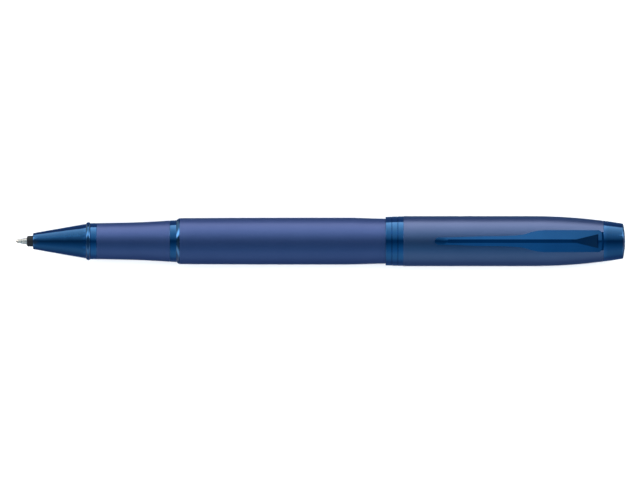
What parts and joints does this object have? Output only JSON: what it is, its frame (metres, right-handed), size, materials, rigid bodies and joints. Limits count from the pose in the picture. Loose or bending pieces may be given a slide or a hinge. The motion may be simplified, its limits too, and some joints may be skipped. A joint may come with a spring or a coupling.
{
  "type": "rollerball pen",
  "caption": "Capped rollerball pen with the cap posted on the barrel: stepped refill, flared screw-in section, sprung clip and ribbed cap band.",
  "frame": {"origin": "centre of the bounding box in X and Y, on the surface the pen lies on in Z", "axes": "+X along the pen towards the finial, -X towards the writing tip; +Z away from the surface, the side the clip is on; the pen's own axis is at Z 6.375 mm"},
  "size_m": [0.1552, 0.0128, 0.0148],
  "materials": {
    "satin_blue": "satin",
    "gloss_blue": "gloss",
    "ball_hard": "polished",
    "point_steel": "satin",
    "spring_steel": "satin",
    "bush_brass": "satin",
    "holder_black": "satin",
    "liner_black": "gloss",
    "inner_black": "matte",
    "tube_clear_white": "gloss",
    "wick_felt": "matte"
  },
  "bodies": {
    "barrel": {"barrel_shell": "satin_blue", "barrel_ring": "gloss_blue", "thread_bush": "bush_brass", "barrel_end_plug": "liner_black"},
    "spring": {"refill_spring": "spring_steel"},
    "section": {"nose_cone": "gloss_blue", "grip_shell": "satin_blue", "grip_ring": "gloss_blue", "section_liner": "liner_black"},
    "refill": {"point_cone": "point_steel", "feed_wick": "wick_felt", "tip_holder": "holder_black", "refill_tube": "tube_clear_white", "ink_reservoir": "wick_felt", "refill_end_plug": "holder_black"},
    "ball": {"writing_ball": "ball_hard"},
    "inner_cap": {"inner_cap": "inner_black"},
    "cap": {"cap_shell": "satin_blue", "cap_band": "gloss_blue", "finial": "gloss_blue", "clip_screw": "point_steel"},
    "clip": {"clip": "gloss_blue"}
  },
  "joints": [
    {"name": "grip_turn", "type": "hinge", "parent": "barrel", "child": "spring", "pos_m": [-0.0366, 0, 0.00637], "axis": [-1, 0, 0], "range_deg": [0, 2160]},
    {"name": "grip_advance", "type": "slide", "parent": "spring", "child": "section", "axis": [-1, 0, 0], "range_m": [0, 0.0046]},
    {"name": "refill_pushback", "type": "slide", "parent": "section", "child": "refill", "axis": [1, 0, 0], "range_m": [0, 0.0012], "stiffness_N_per_m": 400, "springref_m": -0.003, "deforming": ["refill_spring"]},
    {"name": "ball_roll", "type": "hinge", "parent": "refill", "child": "ball", "pos_m": [-0.07725, 0, 0.00637], "axis": [0, 1, 0], "continuous": true},
    {"name": "cap_pull", "type": "slide", "parent": "barrel", "child": "inner_cap", "axis": [1, 0, 0], "range_m": [0, 0.038]},
    {"name": "cap_turn", "type": "hinge", "parent": "inner_cap", "child": "cap", "pos_m": [0.05, 0, 0.00637], "axis": [1, 0, 0], "continuous": true},
    {"name": "clip_flex", "type": "hinge", "parent": "cap", "child": "clip", "pos_m": [0.0709, 0, 0.01018], "axis": [0, 1, 0], "range_deg": [0, 4], "stiffness_Nm_per_rad": 1.5, "springref_deg": -1.15}
  ],
  "couplings": [
    {"joint": "grip_advance", "follows": "grip_turn", "m_per_rad": 0.00011937}
  ]
}
